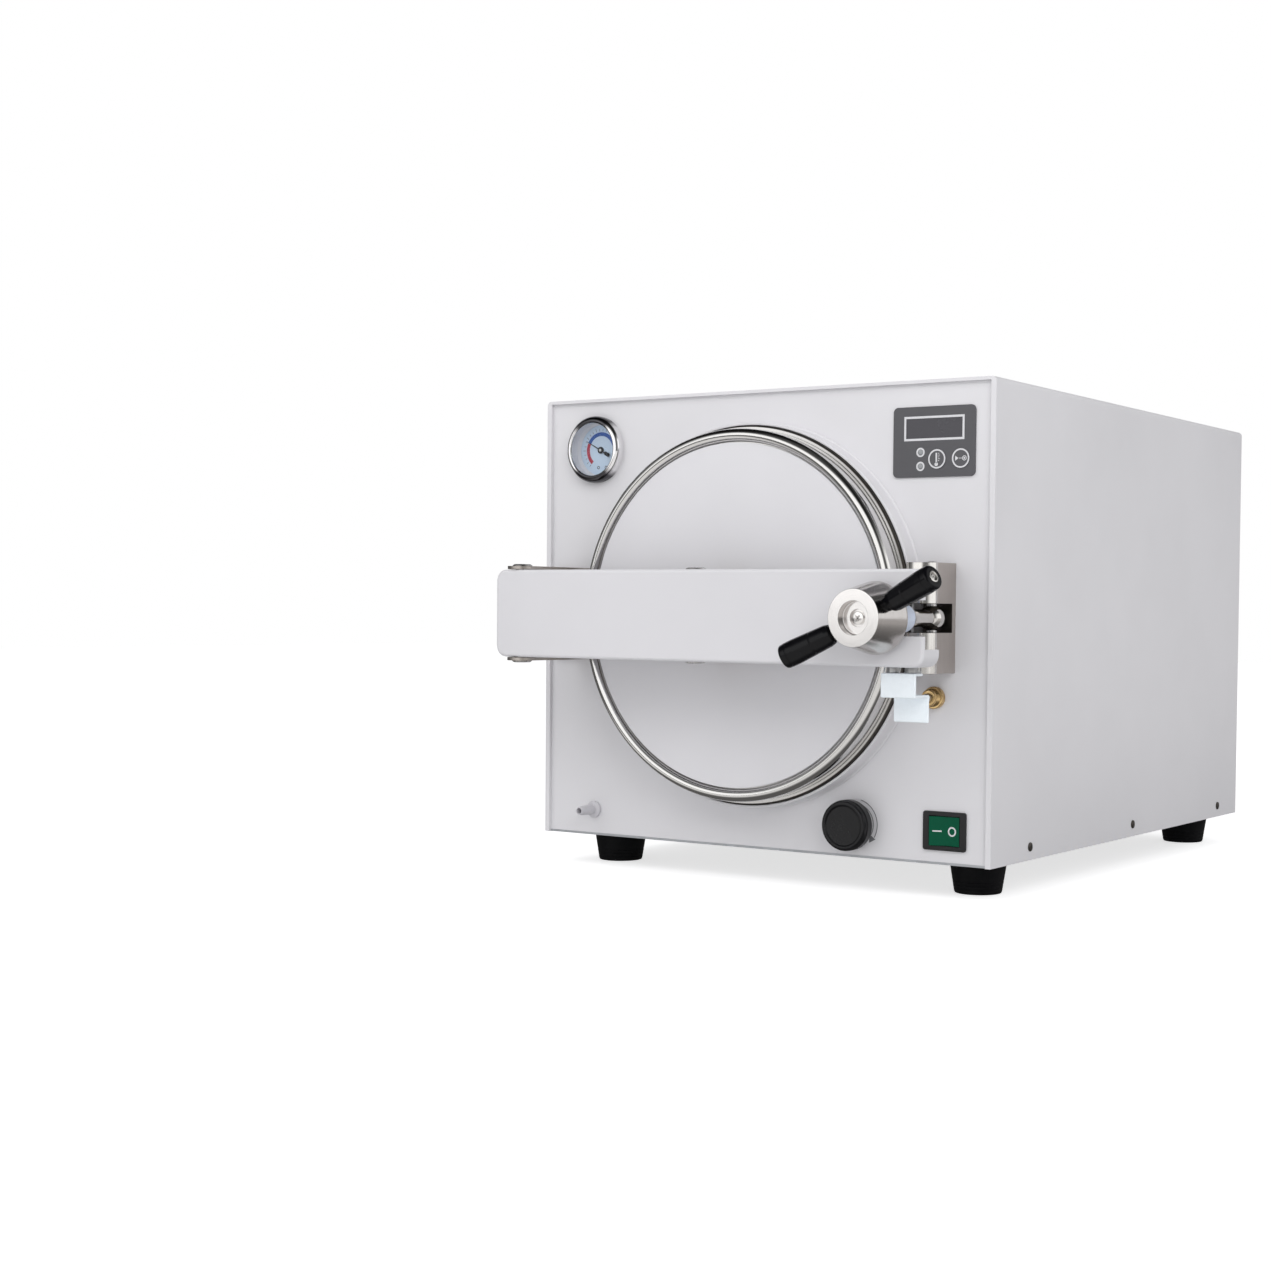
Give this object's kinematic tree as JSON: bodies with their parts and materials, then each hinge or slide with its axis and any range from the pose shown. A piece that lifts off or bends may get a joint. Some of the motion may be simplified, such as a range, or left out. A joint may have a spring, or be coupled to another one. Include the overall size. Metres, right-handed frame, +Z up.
{
  "type": "benchtop autoclave",
  "caption": "Benchtop steam autoclave: box cabinet, round chamber with rack and trays, hinged door on a crossbar, hand-wheel clamp, gauge, overlay, vent knob and switch.",
  "frame": {"origin": "on the bench under the middle of the overall width and depth", "axes": "+X to the right seen from the front, +Y towards the rear, +Z up"},
  "size_m": [0.4544, 0.7165, 0.398],
  "materials": {
    "white_paint": "satin powder coat",
    "zinc_sheet": "zinc-plated sheet",
    "black_rubber": "matt",
    "gasket_rubber": "matt",
    "screw_steel": "plated",
    "polished_steel": "polished stainless",
    "vessel_steel": "satin stainless",
    "heater_mica": "satin",
    "glass_wool": "soft",
    "dark_case": "matt",
    "dial_white": "matt",
    "needle_black": "matt",
    "clear_glass": "clear",
    "overlay_grey": "fine texture",
    "display_smoke": "gloss",
    "key_grey": "fine texture",
    "lamp_green": "clear lens",
    "board_green": "solder mask",
    "black_plastic": "satin",
    "rocker_green": "gloss",
    "brass": "machined",
    "spigot_grey": "satin",
    "copper_pipe": "drawn tube",
    "nylon": "satin"
  },
  "bodies": {
    "cabinet": {"outer_cover": "white_paint", "front_panel": "white_paint", "rear_panel": "white_paint", "base_plate": "zinc_sheet", "rubber_feet": "black_rubber", "side_screws": "screw_steel", "pressure_vessel": "vessel_steel", "chamber_flange": "polished_steel", "mouth_trim": "white_paint", "vessel_saddles": "zinc_sheet", "heater_band": "heater_mica", "insulation": "glass_wool", "bottom_plate": "vessel_steel", "tray_rack": "vessel_steel", "tray_upper": "vessel_steel", "tray_lower": "vessel_steel", "probe_sheaths": "vessel_steel", "gauge_case": "dark_case", "gauge_bezel": "polished_steel", "gauge_dial": "dial_white", "gauge_glass": "clear_glass", "control_overlay": "overlay_grey", "display_window": "display_smoke", "status_lamps": "lamp_green", "control_board": "board_green", "switch_frame": "black_plastic", "vent_valve": "brass", "drain_spigot": "spigot_grey", "pipes": "copper_pipe", "safety_valve": "brass", "mains_inlet": "black_plastic", "fuse_holders": "black_plastic", "transformer": "dark_case", "hinge_bracket": "zinc_sheet", "hinge_pin": "screw_steel", "clamp_bracket": "polished_steel", "eye_pin": "screw_steel", "plunger_bush": "brass"},
    "door": {"door_bar": "white_paint", "door_dish": "polished_steel", "door_face": "white_paint", "door_gasket": "gasket_rubber", "door_boss": "vessel_steel", "pivot_pin": "screw_steel", "thrust_sleeve": "nylon", "clamp_rod": "vessel_steel", "interlock_plate": "zinc_sheet"},
    "thrust_washer": {"thrust_washer": "vessel_steel"},
    "handwheel": {"hub": "polished_steel", "hub_screw": "screw_steel", "grips": "black_plastic", "grip_screws": "screw_steel"},
    "eye_stud": {"eye_stud": "polished_steel"},
    "plunger": {"plunger_pin": "screw_steel"},
    "needle": {"gauge_needle": "needle_black"},
    "key_program": {"key_program": "key_grey"},
    "key_start": {"key_start": "key_grey"},
    "rocker": {"rocker": "rocker_green"},
    "vent_knob": {"vent_knob": "black_plastic"},
    "safety_ring": {"safety_ring": "screw_steel"}
  },
  "joints": [
    {"name": "door_hinge", "type": "hinge", "parent": "cabinet", "child": "door", "pos_m": [-0.18303, -0.30241, 0.216], "axis": [0, 0, -1], "range_deg": [0, 115]},
    {"name": "clamp_travel", "type": "slide", "parent": "door", "child": "thrust_washer", "axis": [0, -1, 0], "range_m": [0, 0.0041]},
    {"name": "handwheel_turn", "type": "hinge", "parent": "thrust_washer", "child": "handwheel", "pos_m": [0.16197, -0.32221, 0.216], "axis": [0, -1, 0], "range_deg": [0, 720]},
    {"name": "eye_swing", "type": "hinge", "parent": "cabinet", "child": "eye_stud", "pos_m": [0.16197, -0.23791, 0.216], "axis": [0, 0, 1], "range_deg": [0, 95]},
    {"name": "plunger_slide", "type": "slide", "parent": "cabinet", "child": "plunger", "axis": [0, -1, 0], "range_m": [0, 0.004], "stiffness_N_per_m": 300},
    {"name": "needle_turn", "type": "hinge", "parent": "cabinet", "child": "needle", "pos_m": [-0.17303, -0.21691, 0.3553], "axis": [0, -1, 0], "range_deg": [-197, 73]},
    {"name": "key_program_press", "type": "slide", "parent": "cabinet", "child": "key_program", "axis": [0, 1, 0], "range_m": [0, 0.0005], "stiffness_N_per_m": 800},
    {"name": "key_start_press", "type": "slide", "parent": "cabinet", "child": "key_start", "axis": [0, 1, 0], "range_m": [0, 0.0005], "stiffness_N_per_m": 800},
    {"name": "rocker_tilt", "type": "hinge", "parent": "cabinet", "child": "rocker", "pos_m": [0.16477, -0.21491, 0.053], "axis": [0, 0, 1], "range_deg": [-14, 0]},
    {"name": "vent_turn", "type": "hinge", "parent": "cabinet", "child": "vent_knob", "pos_m": [0.08547, -0.21691, 0.0535], "axis": [0, -1, 0], "range_deg": [0, 270]},
    {"name": "ring_pull", "type": "slide", "parent": "cabinet", "child": "safety_ring", "axis": [0, 1, 0], "range_m": [0, 0.004], "stiffness_N_per_m": 1500}
  ],
  "couplings": [
    {"joint": "clamp_travel", "follows": "handwheel_turn", "m_per_rad": 0.00031831}
  ]
}
